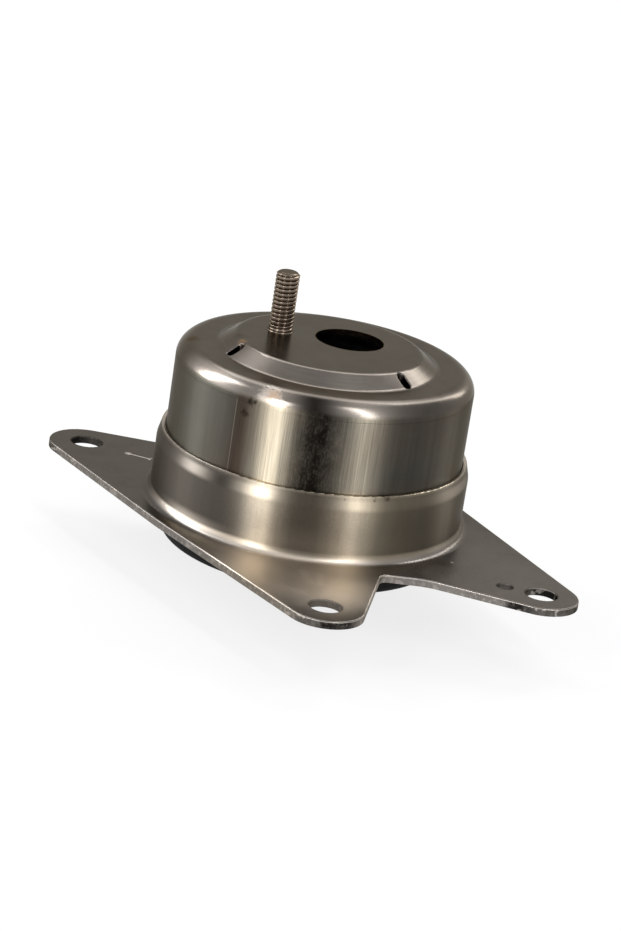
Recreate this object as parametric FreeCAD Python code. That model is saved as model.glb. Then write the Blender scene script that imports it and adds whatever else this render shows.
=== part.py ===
import FreeCAD, Part
import math
import os

# A hydraulic engine mount, shown with its closed end up. A three-lobed
# steel bracket with a drawn collar grips a steel cup. The cup holds the
# fluid side: a rubber spring with a metal core below, two channel plates
# in the middle and a thin rubber bellows on top, with air above it.
# Millimetres. The origin is the centre of the core's seating face, where
# its threaded hole opens. +Z runs up the cup's axis to the stud, and X is
# parallel to the line through the left and right bolt holes.

V = FreeCAD.Vector

# Bracket
sheet_t = 2.6
plate_top_z = 25.0
bolt_hole_r = 5.5
left_hole = (-82.8, -8.6)
right_hole = (93.8, -8.6)
front_hole = (50.4, -74.4)
left_lobe_r = 12.9
right_lobe_r = 12.3
front_lobe_r = 12.6
gauge_hole_r = 2.8
gauge_hole_from_right = (-11.5, -3.5)
collar_height = 23.2
collar_bend_r = 3.0
collar_lip_round_r = 6.0
collar_lip_taper = 1.2
collar_lip_lead = 0.3
front_rim_width = 3.3
back_rim_width = 0.5
notch_angle = -34.8
notch_rim_width = 6.1
notch_r = 3.5
notch_bend_angle = -33.6
notch_bend_rim_width = 8.3
notch_bend_r = 20.0
back_edge_angle = 111.6
back_edge_offset = 35.6
back_corner_r = 12.0
edge_round = 0.5

# Cup
cup_r = 50.0
cup_t = 1.8
cup_height = 55.5
cup_corner_r = 6.1
step_foot_r = 36.9
step_edge_r = 30.9
step_rise = 4.1
step_bend_r = 2.5
crimp_bend_r = 2.3
crimp_width = 5.0
top_hole_r = 11.5
top_hole_at = (2.8, 8.7)
vent_angles = (-124.5, -14.0, 111.0)
vent_width = 3.2
vent_length = 5.0
vent_edge_round = 0.5

# Stud
stud_r = 3.97
stud_reach = 20.4
stud_at = (-17.8, -2.4)
stud_tip_chamfer = 0.9
stud_head_r = 7.5
stud_head_t = 2.0
stud_shoulder_r = 4.4

# Rubber spring, its core and its sleeve
skirt_inset = 0.4
skirt_bottom_z = 12.0
skirt_width = 7.2
skirt_round_r = 2.0
core_face_r = 17.5
core_belt_r = 22.0
core_belt_z = 9.0
core_top_r = 10.0
core_top_z = 36.0
core_edge_round = 1.2
core_thread_r = 5.1
core_thread_depth = 22.0
core_drill_tip = 2.5
sleeve_t = 2.4
sleeve_height = 21.0
sleeve_lip_width = 6.5
spring_lip_t = 3.0
spring_lip_drop = 2.5
spring_crown_width = 12.0
spring_crown_drop = 3.5
spring_crown_round_r = 6.0
spring_valley_z = 21.5
spring_cover_t = 1.6

# Channel plates, membrane and rivets
track_body_t = 8.0
track_inner_r = 34.5
track_outer_r = 42.5
track_depth = 5.5
track_gap_deg = 24.0
track_port_r = 3.0
cover_t = 2.2
membrane_r = 24.0
membrane_room = 4.0
membrane_web_t = 2.4
membrane_rim_width = 3.0
grille_rings = ((0.0, 1), (8.0, 6), (16.0, 12))
grille_hole_r = 2.3
rivet_count = 3
rivet_angle = 60.0
rivet_circle_r = 29.3
rivet_r = 1.6
rivet_head_r = 2.9
rivet_head_t = 1.1

# Bellows and its ring
bellows_t = 1.8
bellows_rim_width = 7.4
bellows_rim_height = 3.4
bellows_roll_r = 3.6
bellows_roll_z = 73.0
bellows_valley_z = 64.0
bellows_dome_r = 24.0
bellows_dome_z = 74.5
ring_t = 1.5
ring_foot_width = 5.6
ring_top_width = 9.0

# Fits
press_gap = 0.05
slip_gap = 0.1

# Worked-out places
plate_bottom_z = plate_top_z - sheet_t
collar_in_r = cup_r + press_gap
collar_out_r = collar_in_r + sheet_t
collar_foot_r = collar_out_r + collar_bend_r
collar_top_z = plate_top_z + collar_height
cup_in_r = cup_r - cup_t
cup_bottom_z = plate_bottom_z + 0.6
cup_rim_z = cup_bottom_z + cup_height
cup_top_z = cup_rim_z + step_rise
seat_r = cup_in_r - slip_gap
skirt_r = seat_r - skirt_inset
crimp_in_r = cup_r - crimp_width
sleeve_foot_z = cup_bottom_z + cup_t
sleeve_top_z = sleeve_foot_z + sleeve_height
sleeve_in_r = seat_r - sleeve_t
sleeve_lip_r = seat_r - sleeve_lip_width
track_bottom_z = sleeve_top_z
track_top_z = track_bottom_z + track_body_t
cover_top_z = track_top_z + cover_t
ring_foot_z = cover_top_z + bellows_rim_height
ring_top_z = cup_rim_z - cup_t


def corner(before, here, after, radius):
    """Tangent points and middle of the round at one corner of an outline."""
    to_before = V(before[0] - here[0], before[1] - here[1], 0)
    to_after = V(after[0] - here[0], after[1] - here[1], 0)
    to_before.normalize()
    to_after.normalize()
    half = to_before.getAngle(to_after) / 2
    point = V(here[0], here[1], 0)
    bisector = to_before + to_after
    bisector.normalize()
    start = point + to_before * (radius / math.tan(half))
    end = point + to_after * (radius / math.tan(half))
    middle = point + bisector * (radius / math.sin(half) - radius)
    return start, middle, end


def rounded_face(corners):
    """Flat face in the XY plane from (x, y, radius) corners."""
    edges = []
    stops = []
    for index, here in enumerate(corners):
        before = corners[index - 1]
        after = corners[(index + 1) % len(corners)]
        if here[2] > 0:
            stops.append(corner(before, here, after, here[2]))
        else:
            point = V(here[0], here[1], 0)
            stops.append((point, None, point))
    for index, (start, middle, end) in enumerate(stops):
        if middle is not None:
            edges.append(Part.Arc(start, middle, end).toShape())
        following = stops[(index + 1) % len(stops)][0]
        if end.distanceToPoint(following) > 1e-6:
            edges.append(Part.makeLine(end, following))
    return Part.Face(Part.Wire(edges))


def turned(section):
    """Solid of revolution about Z from (radius, height, round) corners."""
    face = rounded_face(section)
    face.rotate(V(0, 0, 0), V(1, 0, 0), 90)
    return face.revolve(V(0, 0, 0), V(0, 0, 1), 360)


def offset_path(path, thickness):
    """The same bent path, moved to its left by the thickness."""
    lines = []
    for start, end in zip(path, path[1:]):
        run = V(end[0] - start[0], end[1] - start[1], 0)
        run.normalize()
        lines.append((V(start[0], start[1], 0) + V(-run.y, run.x, 0) * thickness, run))
    moved = [(lines[0][0].x, lines[0][0].y, 0)]
    for (point_a, run_a), (point_b, run_b), bend in zip(lines, lines[1:], path[1:]):
        turn = run_a.x * run_b.y - run_a.y * run_b.x
        gap = point_b - point_a
        along = (gap.x * run_b.y - gap.y * run_b.x) / turn
        place = point_a + run_a * along
        inner = bend[2] - thickness if turn > 0 else bend[2] + thickness
        moved.append((place.x, place.y, max(inner, 0)))
    last = V(path[-1][0], path[-1][1], 0) + V(-lines[-1][1].y, lines[-1][1].x, 0) * thickness
    moved.append((last.x, last.y, 0))
    return moved


def pressed(path, thickness):
    """Revolved sheet: an outer path with bends, and its wall to the left."""
    return turned(path + offset_path(path, thickness)[::-1])


def polar(radius, degrees):
    angle = math.radians(degrees)
    return (radius * math.cos(angle), radius * math.sin(angle))


def rod(radius, low_z, high_z, at=(0, 0)):
    return Part.makeCylinder(radius, high_z - low_z, V(at[0], at[1], low_z))


def belt_runs(rounds):
    """Where each straight run leaves one circle and meets the next, and its heading."""
    runs = []
    for (centre_a, radius_a, side_a), (centre_b, radius_b, side_b) in zip(
        rounds, rounds[1:] + rounds[:1]
    ):
        gap = V(centre_b[0] - centre_a[0], centre_b[1] - centre_a[1], 0)
        lean = min(1.0, (side_a * radius_a - side_b * radius_b) / gap.Length)
        heading = math.atan2(gap.y, gap.x) + math.asin(lean)
        outward = V(math.sin(heading), -math.cos(heading), 0)
        leave = V(centre_a[0], centre_a[1], 0) + outward * (side_a * radius_a)
        arrive = V(centre_b[0], centre_b[1], 0) + outward * (side_b * radius_b)
        runs.append((leave, arrive, heading))
    return runs


def belt_outline(rounds):
    """Closed outline of straight runs that touch circles in turn.

    Each circle is (centre, radius, side): side 1 is passed on its outside,
    as a lobe, and side -1 is a hollow corner. The order is anticlockwise.
    A circle that its neighbours' common run passes clear of is not touched.
    """
    touches = belt_runs(rounds)
    for index, (centre, radius, side) in enumerate(rounds):
        turn = math.remainder(touches[index][2] - touches[index - 1][2], 2 * math.pi)
        if turn * side < 0:
            return belt_outline(rounds[:index] + rounds[index + 1:])
    edges = []
    for index, (centre, radius, side) in enumerate(rounds):
        arrive = touches[index - 1][1]
        leave = touches[index][0]
        middle_way = (arrive + leave) * 0.5 - V(centre[0], centre[1], 0)
        chord = leave - arrive
        out = V(chord.y, -chord.x, 0) * side
        if middle_way * out < 0 or middle_way.Length < 1e-6:
            middle_way = out
        middle_way.normalize()
        middle = V(centre[0], centre[1], 0) + middle_way * radius
        edges.append(Part.Arc(arrive, middle, leave).toShape())
        if leave.distanceToPoint(touches[index][1]) > 1e-3:
            edges.append(Part.makeLine(leave, touches[index][1]))
    return Part.Face(Part.Wire(edges))


def bracket_outline():
    """The plate's edge: three lobes, two rims round the collar, hollow corners."""
    axis = (0.0, 0.0)
    back_r = collar_foot_r + back_rim_width
    corner_off = back_edge_offset + back_corner_r
    corner_along = math.sqrt((back_r + back_corner_r) ** 2 - corner_off ** 2)
    off = polar(corner_off, back_edge_angle)
    along = polar(corner_along, back_edge_angle + 90)
    back_corner = (off[0] + along[0], off[1] + along[1])
    notch = polar(collar_foot_r + notch_rim_width + notch_r, notch_angle)
    notch_bend = polar(collar_foot_r + notch_bend_rim_width + notch_bend_r, notch_bend_angle)
    return belt_outline([
        (left_hole, left_lobe_r, 1),
        (axis, collar_foot_r + front_rim_width, 1),
        (front_hole, front_lobe_r, 1),
        (notch, notch_r, -1),
        (notch_bend, notch_bend_r, -1),
        (right_hole, right_lobe_r, 1),
        (axis, back_r, 1),
        (back_corner, back_corner_r, -1),
    ])


def mounting_bracket():
    """Pressed plate with its collar drawn up from the middle, in one sheet."""
    plate = bracket_outline().extrude(V(0, 0, sheet_t))
    top_edges = [edge for edge in plate.Edges
                 if min(vertex.Z for vertex in edge.Vertexes) > sheet_t - 1e-6]
    plate = plate.makeFillet(edge_round, top_edges)
    plate.translate(V(0, 0, plate_bottom_z))
    gauge_hole = (right_hole[0] + gauge_hole_from_right[0], right_hole[1] + gauge_hole_from_right[1])
    for hole, radius in (
        (left_hole, bolt_hole_r),
        (right_hole, bolt_hole_r),
        (front_hole, bolt_hole_r),
        (gauge_hole, gauge_hole_r),
        ((0, 0), collar_foot_r),
    ):
        plate = plate.cut(rod(radius, plate_bottom_z - 1, plate_top_z + 1, hole))
    lip_r = collar_out_r - collar_lip_taper
    collar = turned([
        (collar_foot_r, plate_top_z, 0),
        (collar_out_r, plate_top_z, collar_bend_r),
        (collar_out_r, collar_top_z - 4.6, collar_lip_round_r),
        (lip_r, collar_top_z, 0.4),
        (collar_in_r + collar_lip_lead, collar_top_z - collar_lip_lead / 2, 0),
        (collar_in_r, collar_top_z - 2 * collar_lip_lead, 0),
        (collar_in_r, plate_bottom_z, collar_bend_r + sheet_t),
        (collar_foot_r, plate_bottom_z, 0),
    ])
    return plate.fuse(collar).removeSplitter()


def vent_rod(degrees):
    """Upright slot through the middle of the cup's conical step, rounded at both ends."""
    half = vent_width / 2
    middle = (step_edge_r + step_foot_r) / 2
    inner = middle - vent_length / 2 + half
    outer = middle + vent_length / 2 - half
    low_z = cup_rim_z - 4 * cup_t
    height = cup_top_z + cup_t - low_z
    slot = Part.makeBox(outer - inner, vent_width, height, V(inner, -half, low_z))
    slot = slot.fuse([Part.makeCylinder(half, height, V(x, 0, low_z)) for x in (inner, outer)])
    slot.rotate(V(0, 0, 0), V(0, 0, 1), degrees)
    return slot.removeSplitter()


def vent_edges(cup):
    """The edges of the vents on the cup's outer skin."""
    found = []
    for edge in cup.Edges:
        middle = edge.valueAt((edge.FirstParameter + edge.LastParameter) / 2)
        reach = math.hypot(middle.x, middle.y)
        fall = (reach - step_edge_r) / (step_foot_r - step_edge_r)
        skin_z = cup_top_z - step_rise * min(1, max(0, fall))
        turned_off = [math.remainder(math.degrees(math.atan2(middle.y, middle.x)) - angle, 360)
                      for angle in vent_angles]
        near_vent = min(abs(angle) for angle in turned_off) < 4
        if near_vent and step_edge_r - 2 < reach < step_foot_r + 2 and abs(middle.z - skin_z) < cup_t / 2:
            found.append(edge)
    return found


def top_cup():
    """Drawn cup with a stepped top, a crimped foot, a large hole and vents."""
    cup = pressed([
        (crimp_in_r, cup_bottom_z, 0),
        (cup_r, cup_bottom_z, crimp_bend_r),
        (cup_r, cup_rim_z, cup_corner_r),
        (step_foot_r, cup_rim_z, step_bend_r),
        (step_edge_r, cup_top_z, step_bend_r),
        (0, cup_top_z, 0),
    ], cup_t)
    for degrees in vent_angles:
        cup = cup.cut(vent_rod(degrees))
    cup = cup.makeFillet(vent_edge_round, vent_edges(cup))
    cup = cup.cut(rod(top_hole_r, cup_rim_z, cup_top_z + 1, top_hole_at))
    cup = cup.cut(rod(stud_shoulder_r + press_gap, cup_rim_z, cup_top_z + 1, stud_at))
    return cup.removeSplitter()


def locating_stud():
    """Stud pressed up through the cup's top, held by its flat head inside."""
    head_z = cup_top_z - cup_t
    tip_z = cup_top_z + stud_reach
    stud = turned([
        (0, head_z - stud_head_t, 0),
        (stud_head_r, head_z - stud_head_t, 0.6),
        (stud_head_r, head_z, 0),
        (stud_shoulder_r, head_z, 0),
        (stud_shoulder_r, cup_top_z, 0),
        (stud_r, cup_top_z, 0),
        (stud_r, tip_z - stud_tip_chamfer, 0),
        (stud_r - stud_tip_chamfer, tip_z, 0),
        (0, tip_z, 0),
    ])
    stud.translate(V(stud_at[0], stud_at[1], 0))
    return stud


def outer_sleeve():
    """Steel ring that the rubber is bonded to, turned in at its foot."""
    return turned([
        (sleeve_lip_r, sleeve_foot_z, 0.4),
        (seat_r, sleeve_foot_z, crimp_bend_r - cup_t + 0.6),
        (seat_r, sleeve_top_z, 0.3),
        (sleeve_in_r, sleeve_top_z, 0.3),
        (sleeve_in_r, sleeve_foot_z + sleeve_t, 0.8),
        (sleeve_lip_r, sleeve_foot_z + sleeve_t, 0.4),
    ])


def core_section():
    """Half section of the core, without its threaded hole."""
    return [
        (0, 0, 0),
        (core_face_r, 0, 0.8),
        (core_face_r + 1.0, core_belt_z - 3.0, 1.5),
        (core_belt_r, core_belt_z, core_edge_round),
        (core_top_r, core_top_z, 3.0),
        (0, core_top_z, 0),
    ]


def inner_core():
    """Cast core: flat face, belt, long taper and a blind threaded hole."""
    core = turned(core_section())
    drill = turned([
        (0, -1, 0),
        (core_thread_r, -1, 0),
        (core_thread_r, core_thread_depth, 0),
        (0, core_thread_depth + core_drill_tip, 0),
    ])
    return core.cut(drill)


def main_rubber_spring():
    """Cone of rubber from the core to the sleeve, with a skirt below."""
    valley_r = (core_belt_r + skirt_r - skirt_width) / 2 + 3.0
    spring = turned([
        (0, core_belt_z + 0.5, 0),
        (core_belt_r + 1.5, core_belt_z + 0.5, 2.5),
        (valley_r, spring_valley_z, 4.5),
        (skirt_r - skirt_width, skirt_bottom_z, 2.0),
        (skirt_r, skirt_bottom_z, skirt_round_r),
        (skirt_r, cup_bottom_z, 1.0),
        (crimp_in_r - slip_gap, cup_bottom_z, 0),
        (crimp_in_r - slip_gap, sleeve_foot_z, 0),
        (seat_r - sleeve_t - 1.0, sleeve_foot_z, 0),
        (sleeve_in_r, sleeve_foot_z + sleeve_t, 0),
        (sleeve_in_r, sleeve_top_z - spring_lip_drop, 1.0),
        (sleeve_in_r - spring_lip_t, sleeve_top_z - spring_lip_drop, 1.0),
        (sleeve_in_r - spring_lip_t, sleeve_foot_z + sleeve_t + 8.0, 8.0),
        (core_top_r + spring_crown_width, core_top_z - spring_crown_drop, spring_crown_round_r),
        (core_top_r + spring_cover_t, core_top_z + spring_cover_t, 3.0),
        (0, core_top_z + spring_cover_t, 0),
    ])
    return spring.cut(outer_sleeve()).cut(turned(core_section()))


def grille(low_z, high_z):
    """Rods for the ring of small round holes over the membrane."""
    rods = []
    for radius, count in grille_rings:
        for index in range(count):
            rods.append(rod(grille_hole_r, low_z, high_z, polar(radius, index * 360.0 / count)))
    return rods


def rivet_places():
    return [polar(rivet_circle_r, rivet_angle + index * 360.0 / rivet_count)
            for index in range(rivet_count)]


def inertia_track_body():
    """Cast disc with a long ring channel and a round room for the membrane."""
    body = rod(seat_r, track_bottom_z, track_top_z)
    channel = turned([
        (track_inner_r, track_top_z - track_depth, 1.0),
        (track_outer_r, track_top_z - track_depth, 1.0),
        (track_outer_r, track_top_z + 1, 0),
        (track_inner_r, track_top_z + 1, 0),
    ])
    dam = Part.makeCylinder(seat_r, 2 * track_body_t, V(0, 0, track_bottom_z - 1), V(0, 0, 1), track_gap_deg)
    body = body.cut(channel.cut(dam))
    body = body.cut(rod(membrane_r, track_top_z - membrane_room, track_top_z + 1))
    middle_r = (track_inner_r + track_outer_r) / 2
    port = polar(middle_r, track_gap_deg + 8.0)
    body = body.cut(rod(track_port_r, track_bottom_z - 1, track_top_z, port))
    body = body.cut(grille(track_bottom_z - 1, track_top_z))
    for place in rivet_places():
        body = body.cut(rod(rivet_r + press_gap, track_bottom_z - 1, track_top_z + 1, place))
    return body


def inertia_track_cover():
    """Steel disc that closes the ring channel, with its own port and grille."""
    cover = rod(seat_r, track_top_z, cover_top_z)
    middle_r = (track_inner_r + track_outer_r) / 2
    port = polar(middle_r, -8.0)
    cover = cover.cut(rod(track_port_r, track_top_z - 1, cover_top_z + 1, port))
    cover = cover.cut(grille(track_top_z - 1, cover_top_z + 1))
    for place in rivet_places():
        cover = cover.cut(rod(rivet_r + press_gap, track_top_z - 1, cover_top_z + 1, place))
    return cover


def decoupler_membrane():
    """Rubber disc with a thick rim, free to flutter between the grilles."""
    floor_z = track_top_z - membrane_room
    outer = membrane_r - slip_gap
    web_low = floor_z + (membrane_room - membrane_web_t) / 2
    return turned([
        (0, web_low, 0),
        (outer - membrane_rim_width, web_low, 0.4),
        (outer - membrane_rim_width, floor_z, 0.4),
        (outer, floor_z, 0.4),
        (outer, track_top_z, 0.4),
        (outer - membrane_rim_width, track_top_z, 0.4),
        (outer - membrane_rim_width, web_low + membrane_web_t, 0.4),
        (0, web_low + membrane_web_t, 0),
    ])


def track_rivets():
    """Three rivets that hold the channel plates together."""
    section = [
        (0, track_bottom_z - rivet_head_t, 0),
        (rivet_head_r, track_bottom_z - rivet_head_t, 0.6),
        (rivet_head_r, track_bottom_z, 0),
        (rivet_r, track_bottom_z, 0),
        (rivet_r, cover_top_z, 0),
        (rivet_head_r, cover_top_z, 0),
        (rivet_head_r, cover_top_z + rivet_head_t, 0.6),
        (0, cover_top_z + rivet_head_t, 0),
    ]
    rivets = []
    for place in rivet_places():
        rivet = turned(section)
        rivet.translate(V(place[0], place[1], 0))
        rivets.append(rivet)
    return Part.makeCompound(rivets)


def bellows_diaphragm():
    """Thin rolled rubber wall, clamped at its rim and domed in the middle."""
    rim_in_r = seat_r - bellows_rim_width
    roll_out_r = seat_r - ring_foot_width - 0.8
    valley_r = roll_out_r - 2 * bellows_roll_r - 2.0
    skin = pressed([
        (roll_out_r, cover_top_z + 1.0, 0),
        (roll_out_r, bellows_roll_z, bellows_roll_r),
        (valley_r, bellows_roll_z, bellows_roll_r),
        (valley_r, bellows_valley_z, 1.9),
        (bellows_dome_r, bellows_valley_z, 1.9),
        (bellows_dome_r - 4.0, bellows_dome_z, 5.0),
        (0, bellows_dome_z, 0),
    ], bellows_t)
    bead = turned([
        (rim_in_r, cover_top_z, 0.5),
        (seat_r, cover_top_z, 0.5),
        (seat_r, ring_foot_z, 0.5),
        (rim_in_r, ring_foot_z, 0.5),
    ])
    return bead.fuse(skin).removeSplitter()


def diaphragm_ring():
    """Steel ring that clamps the bellows' rim and bears on the cup's top."""
    return pressed([
        (seat_r - ring_foot_width, ring_foot_z, 0),
        (seat_r, ring_foot_z, ring_t + 0.4),
        (seat_r, ring_top_z, cup_corner_r - cup_t),
        (seat_r - ring_top_width, ring_top_z, 0),
    ], ring_t)


PIECES = {
    "mounting_bracket": mounting_bracket,
    "top_cup": top_cup,
    "locating_stud": locating_stud,
    "outer_sleeve": outer_sleeve,
    "main_rubber_spring": main_rubber_spring,
    "inner_core": inner_core,
    "inertia_track_body": inertia_track_body,
    "inertia_track_cover": inertia_track_cover,
    "decoupler_membrane": decoupler_membrane,
    "track_rivets": track_rivets,
    "bellows_diaphragm": bellows_diaphragm,
    "diaphragm_ring": diaphragm_ring,
}

os.makedirs("parts", exist_ok=True)
for name, make in PIECES.items():
    shape = make()
    shape.exportStep("parts/" + name + ".step")
    solids = shape.Solids
    print(name, "solids", len(solids), "valid", shape.isValid(), "mm3", round(shape.Volume))
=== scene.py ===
# %% [markdown]
# # A hydraulic engine mount, dressed for its photograph
#
# The pieces come from the CAD model: a pressed plate with a collar, a drawn steel cup,
# a threaded stud, and the rubber, core and channel plates inside. This lesson gives each
# of them the finish that the real one has, cuts the stud's thread, and sets up the
# camera, the floor and the lamps. Objects are in metres. The finishes count in
# millimetres, and in degrees round the mount's axis.

# %% Load the CAD model
import math

import bpy
from mathutils import Matrix, Vector


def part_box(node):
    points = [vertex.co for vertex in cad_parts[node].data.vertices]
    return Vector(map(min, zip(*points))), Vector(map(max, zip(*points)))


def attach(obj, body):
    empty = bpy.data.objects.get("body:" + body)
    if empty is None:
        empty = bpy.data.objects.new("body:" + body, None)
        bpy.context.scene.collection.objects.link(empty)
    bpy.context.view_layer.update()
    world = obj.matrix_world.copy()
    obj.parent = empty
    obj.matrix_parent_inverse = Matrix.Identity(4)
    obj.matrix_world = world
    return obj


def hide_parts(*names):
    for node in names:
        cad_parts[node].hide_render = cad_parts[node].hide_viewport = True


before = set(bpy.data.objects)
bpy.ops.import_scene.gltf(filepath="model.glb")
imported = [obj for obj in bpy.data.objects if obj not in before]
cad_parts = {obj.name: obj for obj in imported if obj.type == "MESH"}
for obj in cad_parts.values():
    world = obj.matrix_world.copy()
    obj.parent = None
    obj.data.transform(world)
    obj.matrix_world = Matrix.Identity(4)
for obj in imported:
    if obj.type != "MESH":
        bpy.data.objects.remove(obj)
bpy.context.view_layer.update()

MM = 0.001
print("pieces from the CAD:", ", ".join(sorted(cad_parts)))

# %% Heights in millimetres that several steps use
plate_top = 25.0
cup_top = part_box("top_cup")[1][2] / MM
print("plate top", plate_top, "cup top", round(cup_top, 2))

# %% [markdown]
# ## The camera
#
# The photograph looks down on the mount at about nineteen degrees, from a little over a
# metre away, and the camera is rolled by nearly nine degrees, so the cup leans in the
# picture. A camera could be placed by eye, or aimed with a Track To constraint. Here it
# is worked out from three angles and three lengths, because then the cup, the plate and
# the holes fall where the photograph has them.

# %% The camera's measures
camera_elevation = math.radians(19.07)
camera_roll = math.radians(-8.735)
camera_turn = math.radians(27.0)
camera_distance = 1.10956
camera_sideways = 0.0018977
camera_upwards = 0.013193
camera_lens = 127.5
camera_film = 36.0
camera_reach = 50.0
print("camera", camera_distance, "m away with a lens of", camera_lens, "mm")

# %% Place the camera
level = Vector((1, 0, 0))
rise = Vector((0, math.sin(camera_elevation), math.cos(camera_elevation)))
back = Vector((0, -math.cos(camera_elevation), math.sin(camera_elevation)))
right = math.cos(camera_roll) * level - math.sin(camera_roll) * rise
up = math.sin(camera_roll) * level + math.cos(camera_roll) * rise
eye = camera_sideways * right + camera_upwards * up + camera_distance * back

turn = Matrix.Rotation(camera_turn, 3, "Z")
camera_axes = Matrix((turn @ right, turn @ up, turn @ back)).transposed()
camera_place = turn @ eye + Vector((0, 0, plate_top * MM))
camera = bpy.data.objects.new("camera", bpy.data.cameras.new("camera"))
camera.matrix_world = Matrix.Translation(camera_place) @ camera_axes.to_4x4()
camera.data.lens = camera_lens
camera.data.sensor_width = camera_film
camera.data.clip_end = camera_reach
bpy.context.collection.objects.link(camera)
bpy.context.scene.camera = camera
print("camera at", [round(number, 3) for number in camera_place])

# %% [markdown]
# ## Node trees written as sums
#
# A finish mixes many masks, such as one minus a band, times some noise. Nodes could be
# added and linked one by one, but the sum is then hard to read. The small class below
# wraps an output socket and gives it the usual operators, so that each operator adds one
# Math node. Every other node comes from the one method of the tree.

# %% A value that can be used in sums
class Value:
    """An output socket that adds a Math node for each operator used on it."""

    def __init__(self, net, socket):
        self.net = net
        self.socket = socket

    def math(self, operation, *others):
        return self.net.node("ShaderNodeMath", {"operation": operation}, (self, *others))

    def flipped(self, operation, other):
        return self.net.node("ShaderNodeMath", {"operation": operation}, (other, self))

    def __add__(self, other):
        return self.math("ADD", other)

    def __sub__(self, other):
        return self.math("SUBTRACT", other)

    def __mul__(self, other):
        return self.math("MULTIPLY", other)

    def __truediv__(self, other):
        return self.math("DIVIDE", other)

    def __pow__(self, other):
        return self.math("POWER", other)

    def __abs__(self):
        return self.math("ABSOLUTE")

    def __rsub__(self, other):
        return self.flipped("SUBTRACT", other)

    def __rtruediv__(self, other):
        return self.flipped("DIVIDE", other)

    __radd__ = __add__
    __rmul__ = __mul__


# %% A tree whose nodes come from one method
class Net:
    """A node tree: node() adds any node with its settings and its values or links."""

    def __init__(self, tree):
        self.tree = tree

    def pick(self, sockets, key):
        if isinstance(key, int):
            return sockets[key]
        for socket in sockets:
            if key in (socket.identifier, socket.name):
                return socket
        raise KeyError(key)

    def node(self, kind, settings=None, values=(), out=0):
        made = self.tree.nodes.new(kind)
        for name, setting in (settings or {}).items():
            setattr(made, name, setting)
        pairs = values.items() if isinstance(values, dict) else enumerate(values)
        for key, value in pairs:
            socket = self.pick(made.inputs, key)
            if isinstance(value, Value):
                self.tree.links.new(value.socket, socket)
            else:
                socket.default_value = value
        return Value(self, self.pick(made.outputs, out)) if len(made.outputs) else made

    def part(self, vector, axis):
        """The X, Y or Z of a vector."""
        return self.node("ShaderNodeSeparateXYZ", {}, (vector,), axis)

    def step(self, value, low, high):
        """Nought below low, one above high, and a smooth rise between."""
        values = {"Value": value, "From Min": low, "From Max": high}
        return self.node("ShaderNodeMapRange", {"interpolation_type": "SMOOTHSTEP"}, values)

    def between(self, value, low, high, soft):
        """One between low and high, and nought outside."""
        over_low = self.step(value, low - soft, low + soft)
        return over_low * (1 - self.step(value, high - soft, high + soft))


# %% [markdown]
# ## What the finishes share
#
# Each finish asks where a point is: its height, its distance and angle about the axis,
# and which way the surface faces. A UV map could say that, but it brings seams. The
# object's own coordinates have none, and stay put when the camera moves. Masks made
# from them, such as spots, strips and strokes, place each mark on the real part.

# %% Where a point is
class Places(Net):
    """A material's tree that knows where a point of the piece is."""

    def __init__(self, name):
        self.material = bpy.data.materials.new(name)
        self.material.use_nodes = True
        super().__init__(self.material.node_tree)
        self.tree.nodes.clear()
        self.place = self.node("ShaderNodeTexCoord", {}, (), "Object")
        self.place_mm = self.scaled(self.place, 1 / MM)
        self.x, self.y, self.z = (self.part(self.place_mm, axis) for axis in "XYZ")
        self.radius = self.from_axis((0, 0))
        self.azimuth = self.y.math("ARCTAN2", self.x)
        self.upward = self.part(self.node("ShaderNodeNewGeometry", {}, (), "Normal"), "Z")

    def scaled(self, vector, factor):
        """A vector or a colour made larger or smaller by a value."""
        values = {"Vector": vector, "Scale": factor}
        return self.node("ShaderNodeVectorMath", {"operation": "SCALE"}, values, "Vector")

    def from_axis(self, centre):
        """The distance from an upright axis through a point of the plan."""
        dx = self.x - centre[0]
        dy = self.y - centre[1]
        return (dx * dx + dy * dy) ** 0.5

    def along_line(self, start, aim):
        """How far along a line of the plan a point lies, and how far beside it."""
        dx = self.x - start[0]
        dy = self.y - start[1]
        return dx * aim[0] + dy * aim[1], abs(dy * aim[0] - dx * aim[1])

    def along_spoke(self, angle):
        """The same for the line that leaves the axis at an angle."""
        turn = math.radians(angle)
        return self.along_line((0, 0), (math.cos(turn), math.sin(turn)))


# %% Noise
class Patterns(Places):
    """The noises of a surface, fixed to the piece."""

    def noise(self, scale, detail=3.0, rise=1.0, roughness=0.55, distortion=0.0, vector=None):
        """Noise by the metre. A rise below one draws it out along the height."""
        vector = vector or self.place
        if rise != 1.0:
            vector = self.node("ShaderNodeMapping", {}, {"Vector": vector, "Scale": (1, 1, rise)})
        values = {"Vector": vector, "Scale": scale, "Detail": detail,
                  "Roughness": roughness, "Distortion": distortion}
        return self.node("ShaderNodeTexNoise", {}, values)

    def swing(self, *settings, **named):
        """The same noise, swinging about nought."""
        return self.noise(*settings, **named) - 0.5

    def rings(self, scale):
        """Fine rings about the axis, as a lathe or a drawing die leaves them."""
        along = (self.radius * MM, self.z * MM, self.azimuth * ring_drift)
        return self.swing(scale, vector=self.node("ShaderNodeCombineXYZ", {}, along))


ring_drift = 0.0015


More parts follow.
